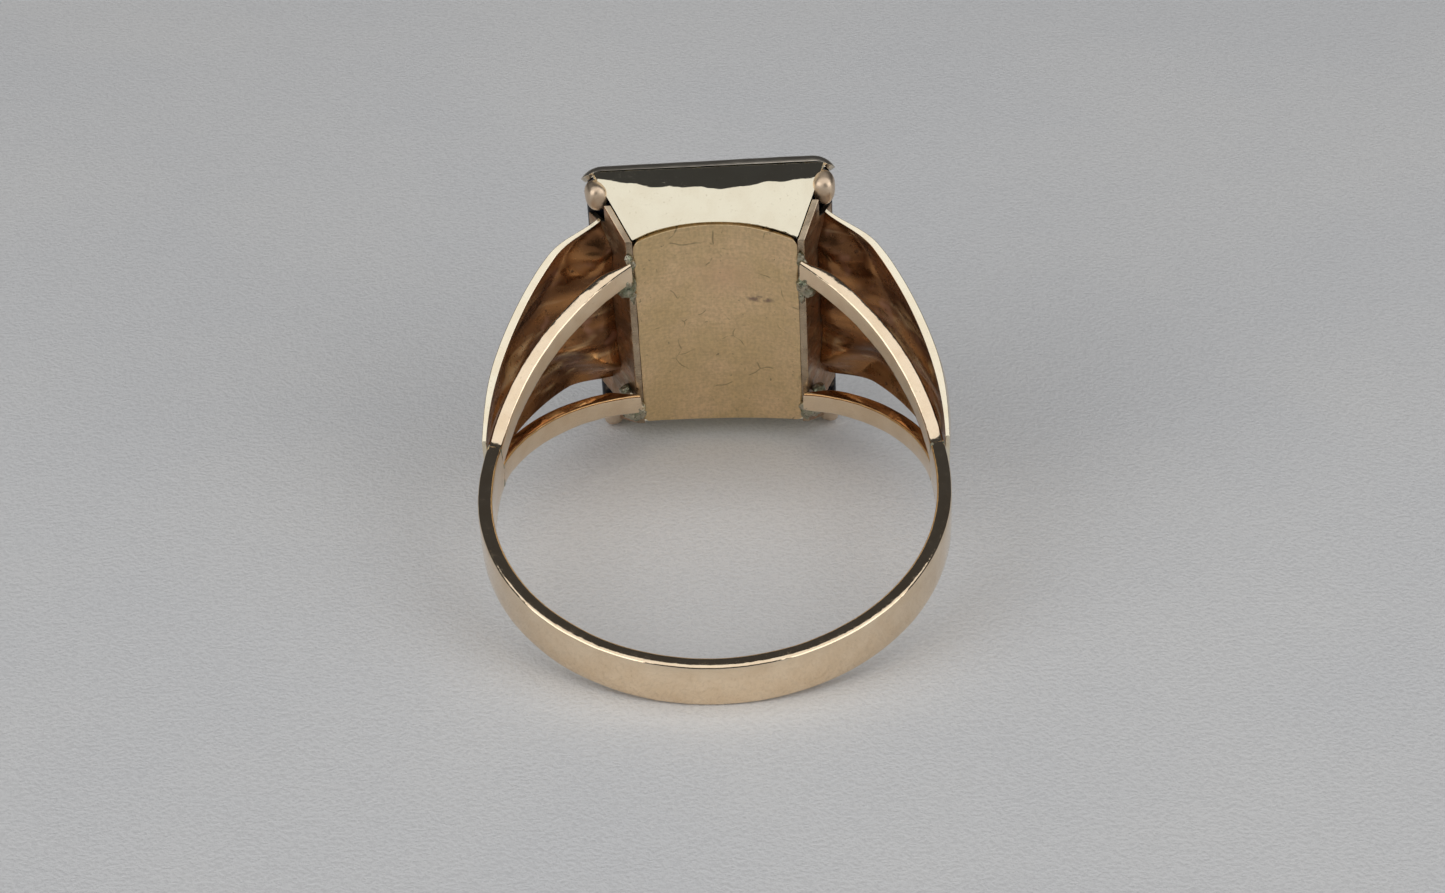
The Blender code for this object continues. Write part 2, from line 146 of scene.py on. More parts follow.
# Back plate, curved to the finger. The groove is how far its ends stand back from the bezels.
PLATE_HALF_WIDTH = 3.76
PLATE_CORNER_Y = 11.0
PLATE_MIDDLE_Y = 11.65
PLATE_THICKNESS = 0.45
PLATE_HALF_LENGTH = 5.76
PLATE_CORNER_RADIUS = 0.30
PLATE_ROUNDING = 0.07
PLATE_EDGE_EASE = 0.08
PLATE_EDGE_EASE_SLOPE = 0.4
PLATE_STEPS = 120
SEAM_GROOVE = 0.03

# Side walls: cut back at their upper corners, to leave room for the claws.
WALL_NOTCH_Y = 12.45
WALL_SHOULDER_Y = WALL_NOTCH_Y + 0.55
WALL_TOP_HALF_LENGTH = 6.35
WALL_NOTCH_INSET = 0.30
WALL_SHOULDER_INSET = 0.60
WALL_TOP_INSET = 0.65
WALL_END_RECESS = 0.15
WALL_FACE_LEAN = 0.6
WALL_SEARCH_HALVINGS = 40

# End bezels' sloped walls. A tuck is how far a wall's foot is drawn in under the back plate.
BEZEL_SLANT_SHEET = SHEET * 1.25
BEZEL_SLOPE = (CREASE_HALF_LENGTH - PLATE_HALF_LENGTH - HEAD_GAP - BEZEL_SLANT_SHEET) / (
    CREASE_Y - PLATE_CORNER_Y)
BEZEL_TUCK = {"lower": 0.26, "upper": 0.0}
BEZEL_TUCK_HEIGHT = 1.2
BEZEL_COLUMNS = 160
BEZEL_WALL_STEPS = 36

# The dish in a sloped wall: it leans in under the crease as far as a wavy knee, then out again.
# The waves are height and frequency, from one side of the wall, at -1, to the other, at 1.
HOLLOW_LENGTH = 3.3
HOLLOW_LEAN = math.radians(12.0)
KNEE_SIDE = 0.44
KNEE_MIDDLE_RISE = 0.52
KNEE_TILT = 0.05
KNEE_WAVES = ((0.05, 9.0), (0.03, 21.0))

# Bezel rim: height, offset outside the stone, and degrees that it turns round the stone's corner.
# Its first rows make the groove under the crease.
BEZEL_RIM = (
    (13.645, 0.12, 22),
    (13.705, 0.12, 28),
    (13.72, 0.34, 34),
    (13.80, 0.35, 46),
    (13.90, 0.34, 60),
    (14.02, 0.31, 66),
    (14.13, 0.26, 66),
    (14.22, 0.19, 66),
    (14.34, 0.06, 66),
    (14.42, -0.06, 66),
)
BEZEL_GROOVE_ROWS = 2

# Claw at the head's upper right corner. The powers make an ellipsoid boxy.
CLAW_CENTRE = (5.36, 13.12, 7.16)
CLAW_HALF_SIZES = (0.52, 0.62, 0.76)
CLAW_POWERS = (0.85, 0.75, 0.85)

# Solder lumps at the head ends of the right rails: centre and half sizes.
SOLDER_LUMPS = {
    "upper": (
        ((4.20, 10.78, 3.45), (0.44, 0.34, 0.82)),
        ((3.93, 10.98, 2.70), (0.14, 0.12, 0.70)),
        ((3.98, 10.96, 4.75), (0.22, 0.18, 0.55)),
        ((4.06, 10.62, 3.45), (0.14, 0.13, 0.14)),
    ),
    "lower": (
        ((4.28, 10.80, -4.78), (0.56, 0.32, 0.66)),
        ((4.38, 10.66, -3.80), (0.16, 0.15, 0.17)),
        ((4.08, 10.98, -5.30), (0.36, 0.20, 0.46)),
        ((4.62, 11.30, -4.05), (0.34, 0.34, 0.30)),
    ),
}
BALL_SUBDIVISIONS = 5

# Onyx tablet.
STONE_HALF_WIDTH = 5.85
STONE_HALF_LENGTH = 7.88
STONE_CORNER_RADIUS = 0.90
STONE_UNDERSIDE_Y = 13.67
STONE_UNDERSIDE_CHAMFER = 0.08
STONE_GIRDLE_Y = 13.97
STONE_TABLE_Y = 14.95
STONE_BEVEL_INSET = 0.95
STONE_CORNER_SHRINKING = 0.6
STONE_CORNER_STEPS = 20

# How far each hand-finished surface wanders, and over what size.
WEAR = {
    "band": (0.008, 0.9),
    "seam": (0.03, 0.3),
    "rail": (0.012, 0.7),
    "plate": (0.02, 1.6),
    "bezel": (0.012, 1.2),
    "claw": (0.07, 0.8),
    "lump": (0.16, 0.50),
    "lump_skin": (0.05, 0.16),
}

# Widths of the rounded edges, and the angle from which an edge is rounded, where it isn't 40.
EDGE_ROUNDING = {"wing": 0.06, "bezel": 0.02, "wall": 0.04, "stone": 0.03}
STONE_EDGE_ANGLE = 25

# The ring's pose on the table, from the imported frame's own mount.
TILT = math.atan2(CREASE_HALF_LENGTH - BAND_WIDTH / 2, CREASE_Y + HOLE_RADIUS + BAND_THICKNESS)
TURN = Matrix.Rotation(TILT, 4, "X")
TABLE_MOUNT = next(m for m in frame["record"]["mounts"] if m["name"] == "stone_table")
LAY = Vector(TABLE_MOUNT["pos_m"]) - TURN @ Vector((0.0, STONE_TABLE_Y * MM, 0.0))
POSE = Matrix.Translation(LAY) @ TURN

# Table, lights and camera, in metres and radians. A light's row is its name, centre, target,
# width, height and radiance; the camera looks at the middle of the finger hole from its distance.
TABLE_HALF_SIZE = 1.5
TABLE_CELLS = 8
LIGHTS = (
    ("overhead_softbox", (0.0, -0.275, 0.50), (0.0, -0.275, 0.0), 1.30, 0.77, 0.92),
    ("left_window", (-0.62, -0.44, 0.27), (0.0, 0.0, 0.0), 0.80, 0.50, 1.60),
    ("right_window", (0.62, -0.44, 0.27), (0.0, 0.0, 0.0), 0.80, 0.50, 1.60),
)
WORLD_COLOUR = (0.95, 0.96, 1.0, 1.0)
WORLD_STRENGTH = 0.05
IMAGE_WIDTH_PIXELS = 1445
CAMERA_FOCAL_PIXELS = 3956.57
CAMERA_DISTANCE = 178.724 * MM
CAMERA_ELEVATION = 0.827057
CAMERA_AZIMUTH = 0.057136
CAMERA_ROLL = -0.053840
CAMERA_SHIFT = (0.0050, 0.0414)
CAMERA_NEAR_LIMIT = 0.001
SENSOR_WIDTH_MM = 36.0


# ---------------------------------------------------------------- shapes

def smooth_step(low, high, value):
    share = min(1.0, max(0.0, (value - low) / (high - low)))
    return share * share * (3.0 - 2.0 * share)


def blend(a, b, share):
    return a + (b - a) * share


def hole_point(angle, offset=0.0):
    """Point on the finger hole's outline, moved out from the hole by offset."""
    reach = HOLE_HEAD_REACH if math.sin(angle) > 0.0 else HOLE_RADIUS
    outward = Vector((math.cos(angle) / HOLE_RADIUS, math.sin(angle) / reach, 0.0)).normalized()
    on_hole = Vector((HOLE_RADIUS * math.cos(angle), reach * math.sin(angle), 0.0))
    return on_hole + offset * outward


def side_wall_inner_x(y):
    return PLATE_HALF_WIDTH + HEAD_GAP + SIDE_FLARE * (y - PLATE_CORNER_Y)


def side_wall_outer_x(y):
    return side_wall_inner_x(y) + SHEET * math.hypot(1.0, SIDE_FLARE)


def head_share(y):
    """How far up the head a height is: 0 at the back plate's corners and 1 at the crease."""
    return (y - PLATE_CORNER_Y) / (CREASE_Y - PLATE_CORNER_Y)


def settle_head(point):
    """Move a point of a straight head to where it is on the real one, which is a little askew."""
    share = head_share(point.y)
    slant = HEAD_SLANT * share * (0.5 + point.z / (2.0 * CREASE_HALF_LENGTH))
    return Vector((point.x * (1.0 - HEAD_NARROWING * share) - HEAD_SHIFT * share, point.y,
                   point.z + slant * point.x))


def settled_wall_x(y, side):
    """How far out the settled head's side wall is; side 0 leaves out the shift to the left."""
    share = head_share(y)
    return side_wall_outer_x(y) * (1.0 - HEAD_NARROWING * share) - side * HEAD_SHIFT * share


def angle_at_wall(point_at, low, high, side=0):
    """The angle where a line of points, given by point_at, meets a side wall's outer face."""
    for _ in range(WALL_SEARCH_HALVINGS):
        middle = (low + high) / 2
        point = point_at(middle)
        if point.x > settled_wall_x(point.y, side):
            low = middle
        else:
            high = middle
    return low


def plate_finger_y(x):
    """Height of the back plate's face towards the finger, which is an arc."""
    sagitta = PLATE_MIDDLE_Y - PLATE_CORNER_Y
    radius = (PLATE_HALF_WIDTH ** 2 + sagitta ** 2) / (2 * sagitta)
    return PLATE_MIDDLE_Y - radius + math.sqrt(radius ** 2 - x ** 2)


def plate_end_z(y):
    return PLATE_HALF_LENGTH + BEZEL_SLOPE * (y - PLATE_CORNER_Y)


def bezel_outer_z(y):
    return plate_end_z(y) + HEAD_GAP + BEZEL_SLANT_SHEET


def worn(point, surface):
    """Move a point a little, the way a hand-finished surface wanders."""
    amount, size = WEAR[surface]
    return point + amount * noise.noise_vector(point / size)


def worn_rows(rows, surface):
    return [[worn(point, surface) for point in row] for row in rows]


def side_points(first, last, steps):
    return [(blend(first[0], last[0], k / steps), blend(first[1], last[1], k / steps))
            for k in range(1, steps)]


def section_outline(half_u, half_v, rounding, crown=0.0, side_steps=5, corner_steps=5):
    """A rounded bar's section, once round; crown swells each face a little."""
    outline = []
    for quarter in range(4):
        start = math.pi / 2 * quarter
        centre = (math.copysign(half_u - rounding, math.cos(start + math.pi / 4)),
                  math.copysign(half_v - rounding, math.sin(start + math.pi / 4)))
        corner = []
        for k in range(corner_steps + 1):
            angle = start + math.pi / 2 * k / corner_steps
            corner.append((centre[0] + rounding * math.cos(angle),
                           centre[1] + rounding * math.sin(angle)))
        if outline:
            outline += side_points(outline[-1], corner[0], side_steps)
        outline += corner
    outline += side_points(outline[-1], outline[0], side_steps)
    return [(u + crown * math.copysign(1.0 - (v / half_v) ** 2, u) * (abs(u) > half_u - rounding),
             v + crown * math.copysign(1.0 - (u / half_u) ** 2, v) * (abs(v) > half_v - rounding))
            for u, v in outline]


def bar_section(inner, outer, middle, half_thickness, half_width, rounding, crown):
    """A bar's section on the finger hole, facing from its inner point to its outer point."""
    outward = (outer - inner).normalized()
    return [middle + u * outward + v * ALONG_FINGER
            for u, v in section_outline(half_thickness, half_width, rounding, crown)]


# ---------------------------------------------------------------- meshes

def add_piece(name, bm, looks, node, smooth_angle=35):
    """Lay a piece down in the row frame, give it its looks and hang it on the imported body."""
    bmesh.ops.recalc_face_normals(bm, faces=bm.faces)
    mesh = bpy.data.meshes.new(name)
    bmesh.ops.scale(bm, vec=(MM, MM, MM), verts=bm.verts)
    bm.to_mesh(mesh)
    bm.free()
    mesh.transform(POSE)
    mesh.shade_smooth()
    mesh.set_sharp_from_angle(angle=math.radians(smooth_angle))
    for look in looks:
        mesh.materials.append(LOOKS[look])
    piece = bpy.data.objects.new(name, mesh)
    bpy.context.scene.collection.objects.link(piece)
    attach(piece, "root")
    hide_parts(node)
    return piece


def loft(sections):
    """Skin matching closed sections, with a cap at each end."""
    bm = bmesh.new()
    rows = [[bm.verts.new(point) for point in section] for section in sections]
    count = len(rows[0])
    for near, far in zip(rows, rows[1:]):
        for i in range(count):
            following = (i + 1) % count
            bm.faces.new((near[i], near[following], far[following], far[i]))
    bm.faces.new(rows[0])
    bm.faces.new(rows[-1])
    return bm


def add_grid(bm, rows, look=0):
    """Join rows of points by faces with a look, and give back the rows of vertices."""
    grid = [[bm.verts.new(point) for point in row] for row in rows]
    for near, far in zip(grid, grid[1:]):
        for i in range(len(near) - 1):
            face = bm.faces.new((near[i], near[i + 1], far[i + 1], far[i]))
            face.material_index = look
    return grid


def grid_border(grid):
    """The vertices round a grid's edge, in order."""
    last_column = [row[-1] for row in grid[1:-1]]
    first_column = [row[0] for row in reversed(grid[1:-1])]
    return grid[0] + last_column + grid[-1][::-1] + first_column


def closed_sheet(outer, inner):
    """A sheet between two matching grids: look 0 outside, look 1 inside, look 2 round the rim."""
    bm = bmesh.new()
    outer_rim = grid_border(add_grid(bm, outer, look=0))
    inner_rim = grid_border(add_grid(bm, inner, look=1))
    for i in range(len(outer_rim)):
        following = (i + 1) % len(outer_rim)
        corners = (outer_rim[i], outer_rim[following], inner_rim[following], inner_rim[i])
        bm.faces.new(corners).material_index = 2
    return bm


def thicken(piece, thickness, outward):
    sheet = piece.modifiers.new("sheet_thickness", "SOLIDIFY")
    sheet.thickness = thickness * MM
    sheet.offset = 1.0 if outward else -1.0


def round_edges(piece, width, segments=3, angle=40):
    bevel = piece.modifiers.new("rounded_edges", "BEVEL")
    bevel.width = width * MM
    bevel.segments = segments
    bevel.limit_method = "ANGLE"
    bevel.angle_limit = math.radians(angle)


# ---------------------------------------------------------------- band and rails

def make_band():
    rows = []
    for i in range(BAND_STEPS + 1):
        angle = SEAM_ANGLE - (math.pi + 2 * SEAM_ANGLE) * i / BAND_STEPS
        inner = hole_point(angle)
        outer = hole_point(angle, BAND_THICKNESS)
        wander = BAND_WANDER * noise.noise(inner / BAND_WANDER_SIZE)
        rows.append(bar_section(inner, outer, (inner + outer) / 2,
                                BAND_THICKNESS / 2 + wander / 2, BAND_WIDTH / 2 + wander,
                                BAND_ROUNDING, BAND_CROWN))
    bm = loft(worn_rows(rows, "band"))
    add_piece("worn_shank_band", bm, ["gold"], "shank_band")


def make_seam_solder(side_name, side):
    """A narrow bead of solder round the joint between the band and the fork."""
    rows = []
    for share in SEAM_BEAD_SHARES:
        angle = SEAM_ANGLE + share * SEAM_BEAD_HALF_ANGLE
        swell = SEAM_BEAD_SWELL * (1.0 - share ** 2)
        inner = hole_point(angle, -swell)
        outer = hole_point(angle, BAND_THICKNESS + swell)
        row = bar_section(inner, outer, (inner + outer) / 2, (outer - inner).length / 2,
                          BAND_WIDTH / 2 + swell, BAND_ROUNDING, 0.0)
        rows.append([Vector((side * p.x, p.y, p.z)) for p in row])
    name = side_name + "_seam_solder"
    add_piece("run_" + name, loft(worn_rows(rows, "seam")), ["solder"], name)


def make_rail(side_name, side, end_name, end):
    """One arm of the fork, from the band along the finger hole to the head's side wall."""
    inner_stop = angle_at_wall(hole_point, SEAM_ANGLE, math.pi / 2)
    outer_stop = angle_at_wall(lambda angle: hole_point(angle, BAND_THICKNESS),
                               SEAM_ANGLE, math.pi / 2)
    rows = []
    travelled = 0.0
    last = hole_point(SEAM_ANGLE)
    for i in range(RAIL_STEPS + 1):
        share = i / RAIL_STEPS
        inner = hole_point(blend(SEAM_ANGLE, inner_stop, share))
        outer = hole_point(blend(SEAM_ANGLE, outer_stop, share), BAND_THICKNESS)
        thinning = RAIL_THINNING * smooth_step(RAIL_THINNING_START, 1.0, share)
        outer = blend(outer, inner, thinning)
        travelled += (inner - last).length
        last = inner
        parting = RAIL_SPREAD * (math.hypot(travelled, RAIL_SPREAD_EASE) - RAIL_SPREAD_EASE)
        width = blend(RAIL_WIDTH, RAIL_HEAD_WIDTH, share)
        seed = Vector((side, end, 0.0)) * RAIL_WANDER_SEED
        wander = RAIL_WANDER * noise.noise(inner / RAIL_WANDER_SIZE + seed)
        middle = (inner + outer) / 2 + Vector((0.0, 0.0, RAIL_CROTCH_GAP + parting + width / 2))
        row = bar_section(inner, outer, middle, (outer - inner).length / 2,
                          (width + wander) / 2, RAIL_ROUNDING, RAIL_CROWN)
        rows.append([Vector((side * p.x, p.y, end * p.z)) for p in row])
    name = f"{side_name}_{end_name}_gallery_rail"
    add_piece("worn_" + name, loft(worn_rows(rows, "rail")), ["gold"], name)


# ---------------------------------------------------------------- wings

def wing_relief(along, across):
    """How far the sheet stands out from its edge line: two lobes, a ridge and a sunk panel."""
    swell = math.sin(math.pi * min(1.0, max(0.0, along)))
    lobes = WING_BULGE * swell * (1.0 - across ** 2)
    off_middle = abs(across)
    crest = 1.0 - smooth_step(*RIDGE_FLANK, off_middle)
    ridge = WING_RIDGE_SHARE * smooth_step(*RIDGE_RISE, along) * crest
    narrow, wide = PANEL_HALF_WIDTHS
    flat = blend(narrow, wide, smooth_step(*PANEL_WIDENING, along))
    floor = 1.0 - smooth_step(flat, min(1.0, flat + PANEL_FLANK), off_middle)
    panel = smooth_step(*PANEL_RISE, along) * floor
    return lobes - WING_PANEL_DEPTH * max(ridge, panel)


def wing_folds(along, across, side):
    """Soft creases that the press left in the sheet; they die out at its edges."""
    height = 0.0
    for fold_height, along_rate, across_rate, seed in (BROAD_FOLDS, FINE_FOLDS):
        place = Vector((along_rate * along, across_rate * across, seed * side))
        height += fold_height * noise.noise(place)
    return (1.0 - across ** 2) * smooth_step(*FOLD_RISE, along) * height


def wing_point(angle, across, head_angle, side, outside):
    """A point of a wing, on its inner face or, if outside is 1, on its outer face."""
    along = (angle - WING_TAIL_ANGLE) / (head_angle - WING_TAIL_ANGLE)
    sheet = blend(WING_TAIL_THICKNESS, WING_THICKNESS, smooth_step(*WING_THICKENING, along))
    sheet *= 1.0 - WING_THINNING_SHARE * smooth_step(*WING_THINNING, along)
    curl = WING_TIP_CURL * smooth_step(*WING_CURLING, along) * across ** 4
    folds = wing_folds(along, across, side) * (1.0 - FOLDS_LOST_OUTSIDE * outside)
    relief = wing_relief(along, across) + folds - curl
    radius = WING_RADIUS + relief + sheet * outside
    spread = WING_SPREAD * WING_RADIUS * max(0.0, angle)
    lift = WING_LIFT * smooth_step(*WING_LIFTING, along)
    return WING_CENTRE + Vector((radius * math.cos(angle), radius * math.sin(angle),
                                 lift + across * (WING_JOINT_HALF_WIDTH + spread)))


def wing_face(side, outside):
    """Rows of points over a face of a wing, each from the tail to the head's side wall."""
    steps_along, steps_across = WING_STEPS
    head_angle = angle_at_wall(
        lambda angle: wing_point(angle, 1.0, WING_EDGE_ANGLE, side, outside),
        WING_TAIL_ANGLE, WING_LAST_ANGLE, side)
    rows = []
    for j in range(steps_across + 1):
        across = 2.0 * j / steps_across - 1.0
        stop = angle_at_wall(
            lambda angle: wing_point(angle, across, head_angle, side, outside),
            WING_TAIL_ANGLE, WING_LAST_ANGLE, side)
        row = []
        for i in range(steps_along + 1):
            angle = blend(WING_TAIL_ANGLE, stop, i / steps_along)
            point = wing_point(angle, across, head_angle, side, outside)
            row.append(Vector((side * point.x, point.y, point.z)))
        rows.append(row)
    return rows


def make_wing(side_name, side):
    name = side_name + "_shoulder_wing"
    bm = closed_sheet(wing_face(side, 1), wing_face(side, 0))
    wing = add_piece("pressed_" + name, bm, ["gold", "wing_inside", "wing_edge"], name)
    round_edges(wing, EDGE_ROUNDING["wing"])


# ---------------------------------------------------------------- head

def make_back_plate():
    """The head's curved back; its sections are rounded all round, and its corners are cut."""
    half_width = PLATE_HALF_WIDTH + HEAD_GAP - SEAM_GAP
    rows = []
    for i in range(PLATE_STEPS + 1):
        x = half_width * math.sin(math.pi / 2 * (2.0 * i / PLATE_STEPS - 1.0))
        from_edge = half_width - abs(x)
        cut = 0.0
        if from_edge < PLATE_CORNER_RADIUS:
            inside = PLATE_CORNER_RADIUS - from_edge
            cut = PLATE_CORNER_RADIUS - math.sqrt(PLATE_CORNER_RADIUS ** 2 - inside ** 2)
        middle = plate_finger_y(x) + PLATE_THICKNESS / 2
        ease = PLATE_EDGE_EASE_SLOPE * max(0.0, PLATE_EDGE_EASE - from_edge)
        half_z = plate_end_z(middle) - SEAM_GROOVE - cut
        outline = section_outline(PLATE_THICKNESS / 2 - ease, half_z, PLATE_ROUNDING,
                                  side_steps=40, corner_steps=4)
        rows.append([Vector((x, middle + u, v)) for u, v in outline])
    bm = loft(worn_rows(rows, "plate"))
    add_piece("brushed_back_plate", bm, ["plate"], "back_plate")


def stone_outline_point(distance, offset):
    """Walk along the stone's end outline from its middle, at an offset outside it."""
    straight = STONE_HALF_WIDTH - STONE_CORNER_RADIUS
    radius = STONE_CORNER_RADIUS + offset
    z_centre = STONE_HALF_LENGTH - STONE_CORNER_RADIUS
    turn = max(0.0, distance - straight) / radius
    return min(distance, straight) + radius * math.sin(turn), z_centre + radius * math.cos(turn)


def bezel_hollow(u, below_crease):
    """How far the sloped wall is dished in; a band under its crease leans out more steeply."""
    knee = KNEE_SIDE + KNEE_MIDDLE_RISE * (1.0 - u * u) + KNEE_TILT * u
    for height, frequency in KNEE_WAVES:
        knee += height * math.sin(frequency * u)
    depth = math.tan(HOLLOW_LEAN) * knee * (HOLLOW_LENGTH - knee) / HOLLOW_LENGTH
    if below_crease < knee:
        tent = below_crease / knee
    else:
        tent = (HOLLOW_LENGTH - below_crease) / (HOLLOW_LENGTH - knee)
    return depth * max(0.0, tent)


def bezel_rows(tuck):
    """Rows of the upper bezel's outer face, from the back plate to the lip over the stone."""
    columns = [2.0 * i / BEZEL_COLUMNS - 1.0 for i in range(BEZEL_COLUMNS + 1)]
    slope_length = math.hypot(1.0, BEZEL_SLOPE)
    normal = Vector((0.0, -BEZEL_SLOPE, 1.0)).normalized()
    rows = []
    for step in range(BEZEL_WALL_STEPS + 1):
        share = step / BEZEL_WALL_STEPS
        row = []
        for u in columns:
            y_low = plate_finger_y(u * PLATE_HALF_WIDTH) + tuck / 2
            y = blend(y_low, CREASE_Y, share)
            x = u * (PLATE_HALF_WIDTH + SIDE_FLARE * (y - PLATE_CORNER_Y))
            x = min(abs(x) + HEAD_GAP, side_wall_inner_x(y)) * math.copysign(1.0, u)
            dish = bezel_hollow(u, (CREASE_Y - y) * slope_length)
            drawn_in = tuck * (1.0 - smooth_step(0.0, BEZEL_TUCK_HEIGHT, y - y_low))
            row.append(Vector((x, y, bezel_outer_z(y) - drawn_in)) - dish * normal)
        rows.append(row)
    straight = STONE_HALF_WIDTH - STONE_CORNER_RADIUS
    for y, offset, turn_degrees in BEZEL_RIM:
        reach = straight + (STONE_CORNER_RADIUS + offset) * math.radians(turn_degrees)
        row = []
        for u in columns:
            x, z = stone_outline_point(abs(u) * reach, offset)
            row.append(Vector((math.copysign(x, u), y, z)))
        rows.append(row)
    return rows


def make_end_bezel(end_name, end):
    """A sloped end wall with its rim turned over the stone; the rim above the groove is satin."""
    tuck = BEZEL_TUCK[end_name]
    rows = [[Vector((p.x, p.y, end * p.z)) for p in row] for row in bezel_rows(tuck)]
    rows = [[settle_head(point) for point in row] for row in worn_rows(rows, "bezel")]
    name = end_name + "_end_bezel"
    bm = bmesh.new()
    add_grid(bm, rows)
    for i, face in enumerate(bm.faces):
        on_rim = i // BEZEL_COLUMNS > BEZEL_WALL_STEPS + BEZEL_GROOVE_ROWS
        face.material_index = int(on_rim)
    bezel = add_piece("polished_" + name, bm, ["polished", "rim"], name)
    middle_face = bezel.data.polygons[BEZEL_COLUMNS // 2]
    outward = TURN.to_3x3() @ Vector((0.0, 0.0, end))
    thicken(bezel, SHEET, outward=middle_face.normal.dot(outward) < 0.0)
    round_edges(bezel, EDGE_ROUNDING["bezel"])


def make_side_wall(side_name, side):
    """A flared side of the box head, cut back at its upper corners; its edges are worn seams."""
    outline = [
        (PLATE_CORNER_Y, bezel_outer_z(PLATE_CORNER_Y) - WALL_END_RECESS),
        (WALL_NOTCH_Y, bezel_outer_z(WALL_NOTCH_Y) - WALL_END_RECESS),
        (WALL_NOTCH_Y, WALL_TOP_HALF_LENGTH - WALL_NOTCH_INSET),
        (WALL_SHOULDER_Y, WALL_TOP_HALF_LENGTH - WALL_SHOULDER_INSET),
        (STONE_UNDERSIDE_Y - SEAM_GAP, WALL_TOP_HALF_LENGTH - WALL_TOP_INSET),
    ]
    outline += [(y, -z) for y, z in reversed(outline)]
    sections = [[settle_head(Vector((side * x_at(y), y, z))) for y, z in outline]
                for x_at in (side_wall_inner_x, side_wall_outer_x)]
    name = side_name + "_side_wall"
    bm = loft(sections)
    bm.normal_update()
    for face in bm.faces:
        face.material_index = int(abs(face.normal.x) < WALL_FACE_LEAN)
    wall = add_piece("aged_" + name, bm, ["wall", "seam"], name)
    round_edges(wall, EDGE_ROUNDING["wall"])


def make_corner_claw(side_name, side, end_name, end):
    """A rounded lobe of metal, pressed against the corner of the head."""
    x, y, z = CLAW_CENTRE
    place = Matrix.Translation((side * x, y, end * z))
    place @= Matrix.Rotation(-side * math.atan(SIDE_FLARE) / 2, 4, "Z")
    bm = bmesh.new()
    bmesh.ops.create_icosphere(bm, subdivisions=BALL_SUBDIVISIONS, radius=1.0)
    for vertex in bm.verts:
        boxy = Vector([math.copysign(abs(c) ** power, c) * half
                       for c, power, half in zip(vertex.co, CLAW_POWERS, CLAW_HALF_SIZES)])
        vertex.co = settle_head(worn(place @ boxy, "claw"))
    name = f"{side_name}_{end_name}_corner_claw"
    add_piece("rounded_" + name, bm, ["claw"], name, smooth_angle=180)


def make_rail_solder(side_name, side, end_name):
    """The solder that has run out of the joint between a rail and the head."""
    bm = bmesh.new()
    for (x, y, z), half_sizes in SOLDER_LUMPS[end_name]:
        place = Matrix.Translation((side * x, y, z)) @ Matrix.Diagonal((*half_sizes, 1.0))
        bmesh.ops.create_icosphere(bm, subdivisions=BALL_SUBDIVISIONS, radius=1.0, matrix=place)
    for vertex in bm.verts:
        vertex.co = worn(worn(vertex.co, "lump"), "lump_skin")
    name = f"{side_name}_{end_name}_rail_solder"
    add_piece("run_" + name, bm, ["solder"], name)


def make_bearer(end_name):
    """The ledge under an end of the stone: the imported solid, settled with the rest of the head."""
    name = end_name + "_stone_bearer"
    bearer = frame["nodes"][name]
    bm = bmesh.new()
    bm.from_mesh(bearer.data)
    bm.transform(POSE.inverted() @ bearer.matrix_world)
    for vertex in bm.verts:
        vertex.co = settle_head(vertex.co / MM)
    add_piece("aged_" + name, bm, ["wall"], name)


def make_stone():
    """The tablet, from its chamfered underside up its sides and over its bevel to its table."""
    levels = (
        (STONE_UNDERSIDE_Y, STONE_UNDERSIDE_CHAMFER),
        (STONE_UNDERSIDE_Y + STONE_UNDERSIDE_CHAMFER, 0.0),
        (STONE_GIRDLE_Y, 0.0),
        (STONE_TABLE_Y, STONE_BEVEL_INSET),
    )
    sections = []
    for y, inset in levels:
        radius = STONE_CORNER_RADIUS - inset * STONE_CORNER_SHRINKING
        half_x = STONE_HALF_WIDTH - inset - radius
        half_z = STONE_HALF_LENGTH - inset - radius
        section = []
        for quarter in range(4):
            start = math.pi / 2 * quarter
            x_centre = math.copysign(half_x, math.cos(start + math.pi / 4))
            z_centre = math.copysign(half_z, math.sin(start + math.pi / 4))
            for k in range(STONE_CORNER_STEPS + 1):
                angle = start + math.pi / 2 * k / STONE_CORNER_STEPS
                section.append(settle_head(Vector((x_centre + radius * math.cos(angle), y,
                                                   z_centre + radius * math.sin(angle)))))
        sections.append(section)
    stone = add_piece("polished_signet_stone", loft(sections), ["onyx"], "signet_stone",
                      smooth_angle=20)
    round_edges(stone, EDGE_ROUNDING["stone"], segments=2, angle=STONE_EDGE_ANGLE)


# ---------------------------------------------------------------- materials

